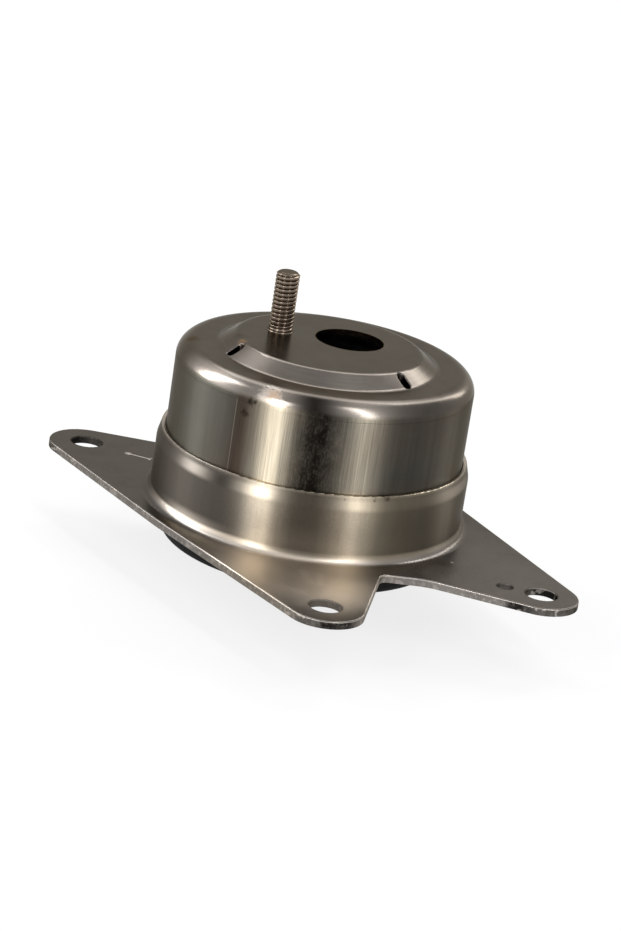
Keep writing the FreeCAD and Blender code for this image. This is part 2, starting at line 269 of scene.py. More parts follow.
# %% Spots, strips and strokes
class Marks(Patterns):
    """Masks: one where a mark is, nought elsewhere, with a soft border."""

    def spot(self, centre, size, soft=0.5, rough=0.0):
        """One near a point, fading out at its size. A point of the plan is on the plate."""
        if len(centre) == 2:
            centre = (*centre, plate_top)
        points = (self.place_mm, centre)
        away = self.node("ShaderNodeVectorMath", {"operation": "DISTANCE"}, points, "Value")
        if rough:
            away = away + self.swing(900.0, 2.0) * (rough * size)
        return 1 - self.step(away, size * soft, size)

    def spots(self, marks):
        """The sum of ragged spots: (centre, size, raggedness, strength)."""
        return sum(self.spot(centre, size, 0.1, rough) * strength
                   for centre, size, rough, strength in marks)

    def band(self, angle, spread, strength):
        """One bell-shaped upright band round the axis."""
        facing = (self.azimuth - math.radians(angle)).math("COSINE")
        return ((facing - 1) / math.radians(spread) ** 2).math("EXPONENT") * strength

    def bands(self, strips):
        """The sum of such bands: (angle, spread, strength)."""
        return sum(self.band(*strip) for strip in strips)

    def thin_line(self, aside, width):
        """One where the distance beside a line is less than its width."""
        return 1 - self.step(aside, width * 0.4, width)

    def wall_line(self, angle, width):
        """A thin upright line on a round wall."""
        ahead, aside = self.along_spoke(angle)
        return self.thin_line(aside, width) * self.step(ahead, 0.0, 1.0)

    def stroke(self, start, end, width):
        """A thin straight line drawn on the plate between two points of the plan."""
        run = Vector(end) - Vector(start)
        along, aside = self.along_line(start, run.normalized())
        return self.between(along, 0.0, run.length, 0.2) * self.thin_line(aside, width)


# %% [markdown]
# ## Steel with a grain
#
# Bare plated steel mirrors the white room, so its colour is set darker than steel looks,
# and a tint holds back its edges. A drawn wall also smears each highlight across its
# grain. One shader could carry a mask in its Anisotropic socket, but the export bakes
# only a few sockets, so two shaders with fixed settings are mixed by the mask.

# %% Colours, relief and shaders
class Finish(Marks):
    """A material: masks, colours and relief, put together in a shader."""

    def mix(self, mask, first, second):
        values = {"Factor_Float": mask, "A_Color": opaque(first), "B_Color": opaque(second)}
        return self.node("ShaderNodeMix", {"data_type": "RGBA"}, values, "Result_Color")

    def bump(self, height, depth, below=None):
        """A relief: height runs from nought to one over the depth."""
        values = {"Height": height, "Strength": 1.0, "Distance": depth * MM}
        if below is not None:
            values["Normal"] = below
        return self.node("ShaderNodeBump", {}, values, "Normal")

    def shader(self, **sockets):
        """A Principled shader with the given values or links."""
        values = {name.replace("_", " "): value for name, value in sockets.items()}
        return self.node("ShaderNodeBsdfPrincipled", {}, values)

    def drawn_and_flat(self, drawn_part, drawn, **sockets):
        """Steel whose drawn walls have a finish with a grain, and whose flats have none."""
        flat = self.shader(Metallic=1.0, Specular_Tint=edge_tint, **sockets)
        grained = self.shader(Metallic=1.0, Specular_Tint=edge_tint, **{**sockets, **drawn})
        return self.finished(self.node("ShaderNodeMixShader", {}, (drawn_part, flat, grained)))

    def finished(self, surface):
        """Ends the tree in a surface and hands over the material."""
        self.node("ShaderNodeOutputMaterial", {}, {"Surface": surface})
        return self.material

    def shade(self, **sockets):
        """A finish with one Principled shader."""
        return self.finished(self.shader(**sockets))


edge_tint = (0.56, 0.54, 0.50, 1.0)
drawn_turn = 0.25

# %% Colours as numbers, and putting a finish on a piece
def srgb(red, green, blue):
    """A colour as a picture shows it, 0 to 255, turned into light."""
    parts = [number / 255.0 for number in (red, green, blue)]
    return tuple(part / 12.92 if part <= 0.04045 else ((part + 0.055) / 1.055) ** 2.4
                 for part in parts)


def opaque(colour):
    """A colour with the fourth number that a colour socket wants."""
    return (*colour, 1.0) if isinstance(colour, tuple) else colour


def give(node, material):
    """Puts a finish in every material slot of a CAD piece."""
    piece = bpy.data.objects[node]
    if not piece.material_slots:
        piece.data.materials.append(material)
    for slot in piece.material_slots:
        slot.material = material
    print(node, "wears", material.name)


# %% [markdown]
# ## The cup's drawn steel
#
# The cup is deep-drawn from plated sheet. Drawing leaves upright streaks down its wall, a
# scuffed strip and a few small stains, while its stepped top stays evenly satin. One
# colour with one roughness would look like plastic, and an image would need a seam.
# Noise stretched along the height gives the streaks without a seam, and soft bands by
# angle about the cup's axis make lighter and darker strips: partly the plating's own
# tone, and partly painted highlights and painted reflections.

# %% Sizes of the cup
top_edge_radius = 44.0
corner_foot = 72.3
cone_radii = (31.0, 36.9)
hole_centre = (2.8, 8.7)
hole_radius = 11.5
# A vent is a slot that points away from the axis: its middle's distance from the axis,
# half of its straight part, and the radius of its round ends.
vent_angles = (-124.5, -14.0, 111.0)
vent_middle = 33.9
vent_half_straight = 1.3
vent_radius = 1.6
cut_line_angle = -95.0
cut_line_width = 0.20
print("cup: hole", 2 * hole_radius, "mm wide, vents at", vent_angles)

# %% Strips of the cup, partly its plating and partly painted light: angle, spread and strength
# Lighter and darker strips: partly the plating's own tone, partly painted reflections, such as the dark
# one at -63 degrees.
cup_plating_and_reflection_strips = [
    (-119, 14, 0.060), (-101, 5, 0.02), (-63, 6.2, -0.052), (-25, 16, 0.012),
    (-3, 5, 0.05), (90, 8, 0.05), (150, 12, 0.03),
]
# Painted highlights: bright bands on the cup's wall where the lamps show.
cup_painted_highlights = [(-79.0, 5.2, 0.36), (-44.5, 5.5, 0.17)]
# Painted highlights on the cone of the stepped top.
cone_painted_highlights = [(-107, 9, 0.19), (-77, 9, 0.03), (-50, 9, 0.06), (-5, 10, 0.02), (120, 20, 0.08)]
# Painted highlights and painted shade on the cup's bent corner.
corner_painted_highlights_and_shade = [
    (-132, 8, -0.05), (-117, 10, 0.15), (-105, 7, 0.26), (-80, 6, 0.18), (-65, 7, -0.095),
    (-46, 8, 0.15), (-14, 14, -0.055), (10, 20, 0.05), (80, 30, 0.06), (160, 30, 0.06),
]
scuffed_strips = [(-65, 6.5, 1.0), (-54, 4, 0.5), (117, 8, 0.6)]
corner_line_gap = [(-81, 8, 0.9)]
cut_line_shadow = [(-92.5, 1.8, 0.018)]
# Tints of strips on the cup; the first tints the painted highlight bands.
cup_strip_tints = [
    ([(-79, 8, 0.9), (-44.5, 7, 0.7)], (255, 240, 212)),
    ([(-114, 10, 0.8)], (248, 246, 228)),
    ([(-92, 2.5, 0.8)], (255, 222, 196)),
]
print("cup:", len(cup_plating_and_reflection_strips), "strips on the wall and", len(corner_painted_highlights_and_shade), "on the corner")

# %% Marks on the cup: centre, size, raggedness and strength
cup_stains = [
    ((0.5, -50, 72.7), 2.0, 1.6, 0.75), ((-0.8, -50, 68.6), 2.0, 1.6, 0.60),
    ((2.4, -50, 73.2), 1.2, 1.6, 0.60), ((-38.0, -24.8, 78.5), 3.6, 1.2, 0.35),
    ((-23.0, -19.5, 82.0), 3.2, 1.0, 0.25),
]
cup_rust = [((-38.0, -24.8, 78.5), 3.6, 1.2, 1.00), ((7.5, -47.8, 76.4), 3.0, 1.6, 0.50)]
# A rust tint and a painted highlight where the left vent's inner end wall is lit.
rust_and_lit_vent_end_place = (-19.4, -23.6, 81.6)
# A painted glint on the cup's bent corner.
painted_glint_place = (6.5, -49.0, 75.5)
print("cup:", len(cup_stains), "stains and", len(cup_rust), "rust spots")

# %% The grain of the cup's sheet
def add_cup_grain(f):
    """Keeps the sheet's patterns in the finish, for the cells below."""
    f.streaks = f.swing(420.0, 4.0, rise=0.04)
    f.hairlines = f.swing(2600.0, 3.0, rise=0.02)
    f.mottle = f.swing(90.0, 4.0)
    f.cloud = f.swing(240.0, 5.0, rise=0.6)


# %% How bright the cup's wall is
def cup_wall_tone(f, corner, corner_line):
    # Plating tone and painted reflections by angle, then painted highlight bands streaked like the wall.
    tone = 0.058 + f.bands(cup_plating_and_reflection_strips) + f.streaks * 0.035 + f.mottle * 0.02 + f.cloud * 0.015
    # Painted highlight bands, streaked like the drawn wall.
    painted_highlight = f.bands(cup_painted_highlights) * (1 + f.hairlines * 1.3 + f.streaks * 0.9)
    tone = tone + painted_highlight + f.hairlines * 0.022
    smears = f.step(f.noise(520.0, 7.0, rise=0.6, roughness=0.8), 0.44, 0.76)
    specks = f.step(f.noise(2600.0, 3.0, rise=0.3, roughness=0.7), 0.52, 0.76)
    tone = tone + (smears * 0.05 + specks * 0.06 + f.cloud * 0.04) * f.bands(scuffed_strips)
    cut_line = f.wall_line(cut_line_angle, cut_line_width) * (1 - corner)
    return tone * (1 - corner_line * 0.2) + cut_line * 0.10 - f.bands(cut_line_shadow)


# %% How bright the cup's top and its vents are
def cup_top_tone(f, corner):
    tone = 0.085 + f.mottle * 0.025 + f.cloud * 0.02 + f.hairlines * 0.004
    cone = f.between(f.radius, *cone_radii, 0.7)
    bent = corner * f.between(f.upward, 0.10, 0.92, 0.08)
    # The cone gets painted highlights and fine turning rings.
    tone = tone + cone * (0.015 + f.bands(cone_painted_highlights) + f.rings(1500.0) * 0.04)
    # Painted highlights and painted shade on the bent corner.
    tone = tone + bent * (0.01 + f.bands(corner_painted_highlights_and_shade))
    # A painted glint on the corner.
    return tone + f.spot(painted_glint_place, 5.5, 0.4, 0.8) * 0.30


def vent_painted_shade(f):
    """Painted shade inside the vents, less at their inner ends, where a painted highlight stands for the
    lit end wall.
    """
    dark = 0.0
    for angle in vent_angles:
        ahead, aside = f.along_spoke(angle)
        beyond = (abs(ahead - vent_middle) - vent_half_straight).math("MAXIMUM", 0.0)
        away = (aside * aside + beyond * beyond) ** 0.5
        # A painted highlight at the vent's inner end wall.
        vent_end_highlight = 1 - f.step(ahead, vent_middle - 2.0, vent_middle - 1.4)
        dark = dark + (1 - f.step(away, vent_radius, vent_radius + 0.12)) * (1 - vent_end_highlight * 0.75)
    return dark


# %% The colour of the cup's plating, and the tint of its painted highlights
def cup_colour(f, wall, rust):
    colour = f.mix(f.step(f.noise(60.0), 0.35, 0.65), srgb(255, 238, 218), srgb(252, 246, 230))
    colour = f.mix((1 - wall) * 0.8, colour, srgb(255, 242, 231))
    for strips, shade in cup_strip_tints:
        colour = f.mix(f.bands(strips) * wall, colour, srgb(*shade))
    return f.mix(rust * 0.7, colour, srgb(255, 186, 112))


# %% The cup's finish
def cup_steel():
    f = Finish("drawn_cup_steel")
    add_cup_grain(f)
    outside = f.step(f.radius, top_edge_radius - 1, top_edge_radius + 1)
    wall = (1 - f.step(f.upward, 0.12, 0.42)) * outside
    corner = f.step(f.radius, top_edge_radius, top_edge_radius + 1)
    corner = corner * f.step(f.z, corner_foot, corner_foot + 0.3)
    corner_line = f.between(f.z, corner_foot - 0.2, corner_foot + 0.1, 0.15)
    corner_line = corner_line * (1 - f.bands(corner_line_gap))
    rim = 1 - f.step(f.from_axis(hole_centre), hole_radius + 0.05, hole_radius + 0.5)
    rust_and_lit_vent_end = f.spot(rust_and_lit_vent_end_place, 2.4, 0.3, 0.8)
    rust = (f.spots(cup_rust) + rust_and_lit_vent_end + rim * 0.8).math("MINIMUM", 1.0)

    top_tone = cup_top_tone(f, corner)
    tone = top_tone + (cup_wall_tone(f, corner, corner_line) - top_tone) * wall
    # Painted shade in the vents, and a painted highlight with rust at the left vent's inner end.
    tone = tone * (1 - vent_painted_shade(f) * 0.95) * (1 - f.spots(cup_stains)) + rust_and_lit_vent_end * 0.12
    tone = tone.math("MAXIMUM", 0.010)
    rim_specks = f.step(f.noise(700.0), 0.56, 0.66)
    tone = tone + (0.05 + rim_specks * 0.16 - tone) * rim

    rough = 0.24 + f.mottle * 0.08 + f.cloud * 0.06
    relief = f.bump(f.noise(260.0), 0.015)
    relief = f.bump(f.hairlines, 0.003, relief)
    relief = f.bump(1 - corner_line, 0.04, relief)
    drawn = dict(Anisotropic=0.9, Anisotropic_Rotation=drawn_turn, Roughness=rough + 0.22)
    colour = f.scaled(cup_colour(f, wall, rust), tone)
    return f.drawn_and_flat(wall, drawn, Base_Color=colour, Roughness=rough, Normal=relief)


give("top_cup", cup_steel())

# %% [markdown]
# ## The bracket's pressed sheet
#
# The bracket is one pressed sheet: a flat plate with three lobes, and a collar drawn up
# from its middle. Its faces are satin and a little mottled, the collar carries soft
# upright strips, partly its plating's tone and partly painted highlights and painted
# reflections, the front lobe carries painted reflections of the collar, and the sheared
# edge shows a burnished line above a torn, pitted band.
# A material for each region would leave hard borders where they meet. One material
# tells by the height, the distance from the axis and the way the surface faces which
# region a point is in, and blends them softly.

# %% Sizes of the bracket
lip_foot = 46.5
lip_radius = 51.0
front_lobe_end = (45, -74)
side_lobe_end = 84
print("collar: lip from height", lip_foot, "and inside radius", lip_radius)

# %% Strips of the collar, partly its plating and partly painted light: angle, spread and strength
# Partly the plating's own tone, partly painted reflections.
collar_plating_and_reflection_strips = [
    (-115, 22, 0.035), (-63, 5, 0.005), (-27, 13, 0.060), (-3, 5, 0.095),
    (92, 8, 0.05), (156, 10, 0.04),
]
# Painted highlights: bright bands on the collar where the lamps show.
collar_painted_highlights = [(-79.5, 5.2, 0.36), (-45, 5.8, 0.24)]
collar_low_strips = [(-30, 30, 0.02), (-63, 12, 0.03)]
# Painted highlights on the lip's rounding, and one band of painted shade.
lip_painted_highlights_and_shade = [(-108, 5, 0.30), (-96, 6, -0.045), (-82, 5, 0.25), (-43, 6, 0.10), (5, 10, 0.12)]
# Painted highlights on the bend at the collar's foot.
bend_painted_highlights = [(-108, 13, 0.90), (-84, 8, 0.15), (-15, 20, 0.10)]
# A painted highlight on the low wall just above the bend.
foot_painted_highlights = [(-107, 9, 0.30)]
nicked_strips = [(-41, 9, 1.0), (-100, 25, 0.25)]
# Yellow tints on the collar; one lies on a painted highlight band.
yellow_strips = [(-30, 25, 0.9), (-79.5, 9, 0.5)]
print("collar:", len(collar_plating_and_reflection_strips), "strips on the wall and", len(lip_painted_highlights_and_shade), "on the lip")

# %% Marks on the plate, by their places in the plan
# Painted reflections and sheen on the lobes: centre, size, raggedness and strength
lobe_painted_reflections = [
    ((28, -60), 46, 0, 0.42), ((13, -66), 20, 0, 0.30), ((48, -60), 24, 0, 0.42),
    ((37, -37), 14, 0, 0.30), ((56, -25), 16, 0, 0.14), ((80, -5), 60, 0, 0.03),
]
# Holes: centre, radius and darkness of the rim
hole_rims = [
    ((-82.8, -8.6), 5.5, 0.75), ((93.8, -8.6), 5.5, 0.35),
    ((50.4, -74.4), 5.5, 0.40), ((82.3, -12.1), 2.8, 0.45),
]
# Strokes: start, end and width
plate_scuffs = [((29.5, -53.0), (37.5, -61.5), 2.2), ((35.5, -52.0), (40.5, -60.5), 1.6)]
scratch_run = ((-66.9, -6.7), (-58.8, -5.3))
fleck_run = ((-58.6, -6.6), (-58.9, -4.0))
fleck_place = (60.2, -7.1)
# The warm tint of the painted reflections on the front lobe: centre and size.
lobe_reflection_tint = ((32, -60), 40)
lobe_matt = ((28, -60), 46)
print("plate:", len(hole_rims), "holes with a shaded rim and", len(lobe_painted_reflections), "bright areas")

# %% The grain of the bracket's sheet
def add_bracket_grain(f):
    """Keeps the sheet's patterns in the finish, for the cells below."""
    f.streaks = f.swing(260.0, rise=0.12)
    f.mottle = f.swing(110.0, 5.0, distortion=0.6)
    f.grain = f.swing(1600.0)
    f.satin = f.swing(900.0, 4.0)
    f.torn = f.noise(700.0, 4.0, rise=0.7)


# %% How bright the flat plate is
def plate_tone(f, under):
    # The lobes get painted reflections of the collar.
    tone = 0.085 + f.mottle * 0.02 + f.grain * 0.02 + f.spots(lobe_painted_reflections)
    tone = tone + sum(f.stroke(*scuff) for scuff in plate_scuffs) * 0.07
    return tone + (0.10 - tone) * under


# %% How bright the collar is
def collar_tone(f):
    # Plating tone and painted reflections by angle.
    tone = 0.062 + f.bands(collar_plating_and_reflection_strips) + f.streaks * 0.02 + f.grain * 0.012 + f.satin * 0.02
    tone = tone + f.bands(collar_low_strips) * (1 - f.step(f.z, plate_top + 5, plate_top + 13))
    # Painted highlight bands, strongest near the lip.
    painted_highlight = f.bands(collar_painted_highlights) * (0.60 + 0.40 * f.step(f.z, plate_top + 7, plate_top + 20))
    tone = tone + painted_highlight * (1 + f.streaks * 0.8 + f.grain * 0.5)
    # Painted highlights on the lip's rounding and on the lip's inner edge.
    lip_highlight_zone = f.between(f.z, lip_foot - 3.3, lip_foot + 0.1, 0.9)
    lip = f.step(f.z, lip_foot, lip_foot + 0.9)
    lip = lip * (1 - f.step(f.radius, lip_radius, lip_radius + 0.8))
    # Painted highlights on the bend, which is also a little lighter all round, and on the low wall.
    bend = 1 - f.step(f.z, plate_top + 2.2, plate_top + 3.6)
    foot = 1 - f.step(f.z, plate_top + 3.4, plate_top + 6.5)
    tone = tone + lip_highlight_zone * f.bands(lip_painted_highlights_and_shade) + lip * 0.34
    tone = tone + bend * (0.05 + f.bands(bend_painted_highlights)) + foot * f.bands(foot_painted_highlights)
    nicks = f.step(f.noise(300.0, 2.0), 0.58, 0.66) * f.bands(nicked_strips)
    nicks = nicks * f.step(f.z, lip_foot - 0.3, lip_foot + 0.3)
    return tone * (1 - nicks.math("MINIMUM", 1.0) * 0.75)


# %% How bright the sheared edge is
def lobe_ends(f):
    """One near the rounded ends of the plate's three lobes."""
    right_of, before = front_lobe_end
    front = (1 - f.step(f.y, before - 6, before)) * f.step(f.x, right_of, right_of + 5)
    sides = f.step(abs(f.x), side_lobe_end, side_lobe_end + 6)
    return (front + sides).math("MINIMUM", 1.0)


def sheared_tone(f):
    """A burnished line above a torn band, blotted at the lobes' ends."""
    burnished = f.step(f.z, plate_top - 0.55, plate_top - 0.3)
    torn_part = 1 - burnished
    ends = lobe_ends(f)
    fray = f.step(f.torn, 0.50, 0.62)
    blots = (0.60 + 0.40 * f.step(f.noise(140.0, 4.0, roughness=0.7), 0.42, 0.60)) * ends
    flecks = f.step(f.noise(230.0, 2.0), 0.58, 0.64) * (0.35 + ends * 0.65)
    tone = 0.19 + burnished * 0.20 + fray * torn_part * 0.08 + f.mottle * 0.10
    return tone * (1 - blots * torn_part * 0.92) + flecks * 0.28


# %% Holes and scratches
def hole_shade(f):
    """What the rims of the holes leave of the plate's brightness."""
    left = 1.0
    for centre, radius, darkness in hole_rims:
        near = 1 - f.step(f.from_axis(centre), radius + 0.1, radius + 0.5)
        left = left * (1 - near * (darkness + (f.torn - 0.5) * 0.6))
    return left


def long_scratch(f):
    """The dent near the left hole and the scratch that leaves it."""
    return f.spot(scratch_run[0], 1.5) + f.stroke(*scratch_run, 0.50)


def bright_flecks(f):
    """A bright fleck on the right lobe and a short nick at the scratch's end."""
    return f.spot(fleck_place, 0.8, 0.4) + f.stroke(*fleck_run, 0.35)


# %% The colour of the bracket's plating, and the tints of its painted highlights and reflections
def bracket_colour(f, collar):
    colour = f.mix(f.noise(70.0), srgb(255, 238, 220), srgb(255, 246, 234))
    colour = f.mix((1 - collar) * 0.8, colour, srgb(255, 246, 238))
    # A warm tint on the front lobe's painted reflections.
    colour = f.mix(f.spot(*lobe_reflection_tint, 0.3) * (1 - collar), colour, srgb(255, 240, 221))
    return f.mix(f.bands(yellow_strips) * collar, colour, srgb(255, 238, 208))


# %% The bracket's finish
def bracket_steel():
    f = Finish("pressed_bracket_steel")
    add_bracket_grain(f)
    collar = f.step(f.z, plate_top + 0.3, plate_top + 2.5)
    wall = (1 - f.step(abs(f.upward), 0.45, 0.80)) * collar
    edge = 1 - f.step(abs(f.upward), 0.3, 0.7)
    edge = edge * (1 - f.step(f.z, plate_top + 0.05, plate_top + 0.2))
    under = 1 - f.step(f.upward, -0.5, 0.5)
    scratch = long_scratch(f)

    flat_tone = plate_tone(f, under)
    tone = flat_tone + (collar_tone(f) - flat_tone) * collar
    tone = (tone + (sheared_tone(f) - tone) * edge) * hole_shade(f)
    tone = tone + (scratch + bright_flecks(f)).math("MINIMUM", 1.0) * 0.28 * (1 - under)

    rough = 0.30 + f.mottle * 0.12 + f.grain * 0.08 + edge * 0.15 + f.satin * 0.08
    rough = rough + f.spot(*lobe_matt, 0.2) * (1 - collar) * 0.12
    relief = f.bump(f.noise(420.0), 0.015)
    relief = f.bump(f.noise(2600.0, 2.0), 0.004, relief)
    relief = f.bump(f.torn * edge, 0.12, relief)
    relief = f.bump(scratch, 0.08, relief)
    drawn = dict(Anisotropic=0.85, Anisotropic_Rotation=drawn_turn, Roughness=rough + 0.18)
    colour = f.scaled(bracket_colour(f, collar), tone.math("MAXIMUM", 0.012))
    return f.drawn_and_flat(wall, drawn, Base_Color=colour, Roughness=rough, Normal=relief)


give("mounting_bracket", bracket_steel())

# %% [markdown]
# ## The stud's thread
#
# The stud is a coarse 5/16 inch screw, 18 turns to the inch, pressed through the cup's
# top. A thread could be cut from a cylinder with a boolean, or a profile could be swept
# along a helix, but both leave ragged ends. A thread is a rule: at each height and angle
# the radius is that of the shank less the depth of the groove. So Geometry Nodes bend a
# flat grid round the axis and give each point the radius that the rule asks, with the
# groove running out softly at both ends.

# %% The stud's place and sizes
stud_low, stud_high = (Vector(corner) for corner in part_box("locating_stud"))
stud_axis = (stud_low + stud_high).xy / 2
stud_foot = stud_low.z
stud_tip = stud_high.z
thread_sizes = {
    "Shank Radius": 3.97 * MM,
    "Groove Depth": 0.64 * MM,
    "Pitch": 25.4 / 18 * MM,
    "Foot": stud_foot,
    "Tip": stud_tip,
    "Thread Start": (cup_top + 0.5) * MM,
    "Head Radius": 7.5 * MM,
    "Head Top": stud_foot + 2.0 * MM,
    "Shoulder Radius": 4.4 * MM,
    "Shoulder Top": cup_top * MM,
    "Tip Rounding": 1.1 * MM,
}
# The grid's points round and along the stud, the share of its length that closes each
# end, and the share of half a turn over which the groove rises to the crest.
thread_around = 49
thread_along = 330
thread_cap = 0.03
groove_share = 0.58
print("stud axis", [round(number / MM, 2) for number in stud_axis], "tip", round(stud_tip / MM, 2), "mm")

# %% The stud's finish
def stud_steel():
    f = Finish("threaded_stud_steel")
    tip_height = stud_tip / MM
    patches = f.swing(300.0)
    crest = f.step(f.from_axis(stud_axis / MM), 3.40, 3.85)
    foot = 1 - f.step(f.z, cup_top + 0.3, cup_top + 1.6)
    end = f.step(f.upward, 0.8, 0.95) * f.step(f.z, tip_height - 0.6, tip_height - 0.3)
    tip = f.step(f.z, tip_height - 1.4, tip_height - 1.0)
    # Crests lighter than roots: painted highlight and painted shade of the thread; the foot by the cup
    # gets painted shade.
    tone = 0.120 + crest * crest * 0.075 + patches * 0.05 * crest - foot * 0.03
    tone = tone + (0.075 + patches * 0.04 - tone) * end
    colour = f.mix((crest + tip).math("MINIMUM", 1.0), srgb(255, 216, 180), srgb(255, 232, 208))
    colour = f.scaled(colour, tone.math("MAXIMUM", 0.02))
    relief = f.bump(f.noise(1200.0, 2.0), 0.004)
    return f.shade(Base_Color=colour, Metallic=1.0, Roughness=0.26 + patches * 0.12,
                   Specular_Tint=edge_tint, Normal=relief)


stud_finish = stud_steel()
print("the stud wears", stud_finish.name)

# %% The rule of the thread
def thread_radius(net, size, height, across):
    """The radius at a height and a turn: thread, rounded tip, shoulder and head."""
    phase = (height / size["Pitch"] - across).math("FRACT")
    deep = 1 - net.step(abs(phase - 0.5) * 2, 0.0, groove_share)
    running = net.step(height, size["Thread Start"], size["Thread Start"] + size["Pitch"])
    running = running * (1 - net.step(height, size["Tip"] - size["Tip Rounding"] * 1.2, size["Tip"]))
    tip_in = ((height - size["Tip"] + size["Tip Rounding"]) / size["Tip Rounding"]).math("MAXIMUM", 0.0)
    in_shoulder = height.math("LESS_THAN", size["Shoulder Top"])
    in_head = height.math("LESS_THAN", size["Head Top"])
    radius = size["Shank Radius"] - deep * size["Groove Depth"] * running
    radius = radius - tip_in * tip_in * size["Tip Rounding"]
    radius = radius + in_shoulder * (size["Shoulder Radius"] - size["Shank Radius"])
    return radius + in_head * (size["Head Radius"] - size["Shoulder Radius"])


# %% The thread as Geometry Nodes
def add_inputs(tree, sizes):
    """Gives a tree a named input for each size, and says by which identifier it is set."""
    identifiers = {}
    for label, size in sizes.items():
        socket = tree.interface.new_socket(label, in_out="INPUT", socket_type="NodeSocketFloat")
        socket.default_value = size
        identifiers[label] = socket.identifier
    tree.interface.new_socket("Geometry", in_out="OUTPUT", socket_type="NodeSocketGeometry")
    return identifiers


def thread_tree(name):
    tree = bpy.data.node_groups.new(name, "GeometryNodeTree")
    identifiers = add_inputs(tree, thread_sizes)
    net = Net(tree)
    group = tree.nodes.new("NodeGroupInput")
    size = {label: Value(net, net.pick(group.outputs, label)) for label in thread_sizes}
    grid_values = {"Size X": 1.0, "Size Y": 1.0, "Vertices X": thread_around, "Vertices Y": thread_along}
    grid = net.node("GeometryNodeMeshGrid", {}, grid_values, "Mesh")
    place = net.node("GeometryNodeInputPosition")
    across = net.part(place, "X") + 0.5
    along = net.part(place, "Y") + 0.5
    rise = ((along - thread_cap) / (1 - 2 * thread_cap)).math("MAXIMUM", 0.0).math("MINIMUM", 1.0)
    height = size["Foot"] + rise * (size["Tip"] - size["Foot"])
    closing = (along / thread_cap).math("MINIMUM", (1 - along) / thread_cap).math("MINIMUM", 1.0)
    radius = thread_radius(net, size, height, across) * closing
    angle = across * (2 * math.pi)
    bent = (radius * angle.math("COSINE"), radius * angle.math("SINE"), height)
    bent = net.node("ShaderNodeCombineXYZ", {}, bent)
    moved = net.node("GeometryNodeSetPosition", {}, {"Geometry": grid, "Position": bent})
    joined = net.node("GeometryNodeMergeByDistance", {}, {"Geometry": moved, "Distance": 1e-6})
    smooth = net.node("GeometryNodeSetShadeSmooth", {}, {"Geometry": joined})
    whole = net.node("GeometryNodeRealizeInstances", {}, {"Geometry": smooth})
    dressed = net.node("GeometryNodeSetMaterial", {}, {"Geometry": whole, "Material": stud_finish})
    net.node("NodeGroupOutput", {}, (dressed,))
    return tree, identifiers


# %% Make the stud a plain mesh
def evaluated_mesh(name, tree, identifiers, sizes):
    """Runs a Geometry Nodes tree on an empty mesh and keeps the result as a plain mesh."""
    carrier = bpy.data.objects.new(name + "_rule", bpy.data.meshes.new(name + "_rule"))
    bpy.context.collection.objects.link(carrier)
    modifier = carrier.modifiers.new("rule", "NODES")
    modifier.node_group = tree
    for label, size in sizes.items():
        modifier[identifiers[label]] = size
    graph = bpy.context.evaluated_depsgraph_get()
    mesh = bpy.data.meshes.new_from_object(carrier.evaluated_get(graph))
    carrier.modifiers.remove(modifier)
    bpy.data.objects.remove(carrier)
    piece = bpy.data.objects.new(name, mesh)
    bpy.context.collection.objects.link(piece)
    return piece


stud = evaluated_mesh("threaded_stud", *thread_tree("stud_thread"), thread_sizes)
stud.data.transform(Matrix.Translation((*stud_axis, 0)))
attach(stud, "root")
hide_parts("locating_stud")
print("stud:", len(stud.data.polygons), "faces")

# %% [markdown]
# ## Rubber
#
# The spring, the membrane and the bellows are moulded black rubber: almost black, matt,
# with a dusty bloom and a faint mould texture. A dark grey alone would look like paint,
# so the roughness and a shallow relief vary with noise.

# %% The rubber's finish
def black_rubber():
    f = Finish("moulded_rubber")
    bloom = f.noise(120.0, 4.0, distortion=0.4)
    dust = f.step(f.noise(1400.0), 0.62, 0.78) * 0.3
    colour = f.mix(bloom, srgb(9, 9, 10), srgb(18, 17, 17))
    colour = f.mix(dust, colour, srgb(52, 50, 47))
    relief = f.bump(f.noise(900.0, 4.0), 0.05)
    rough = 0.70 + (bloom - 0.5) * 0.3
    return f.shade(Base_Color=colour, Roughness=rough, Specular_IOR_Level=0.15, Normal=relief)


rubber = black_rubber()
for node in ("main_rubber_spring", "decoupler_membrane", "bellows_diaphragm"):
    give(node, rubber)

# %% [markdown]
# ## Aluminium and the inner steel
#
# The core and the channel body are castings: their skin is light grey, slightly rough and
# finely pitted, and only machined faces shine. The sleeve, the cover, the rivets and the
# ring are plain plated sheet that nobody sees once the mount is closed. Each kind could
# have one flat grey, but a part that is opened or cut later shows them, so they get
# their own skins.

# %% The castings
def cast_aluminium(name, tone):
    f = Finish(name)
    skin = f.noise(350.0, 5.0)
    pits = f.step(f.noise(1300.0), 0.60, 0.70)
    machined = f.step(abs(f.upward), 0.97, 0.995)
    rings = (f.radius * 6.0).math("SINE") * 0.5 + 0.5
    tone = tone + (skin - 0.5) * 0.12 - pits * (1 - machined) * 0.10 + machined * (0.08 + rings * 0.04)
    colour = f.scaled(srgb(250, 250, 255), tone)
    rough = 0.48 - machined * 0.18 + (skin - 0.5) * 0.2
    relief = f.bump(skin * (1 - machined), 0.12)
    relief = f.bump(rings * machined, 0.01, relief)
    return f.shade(Base_Color=colour, Metallic=1.0, Roughness=rough, Normal=relief)


give("inner_core", cast_aluminium("cast_core_aluminium", 0.22))
give("inertia_track_body", cast_aluminium("cast_track_aluminium", 0.26))

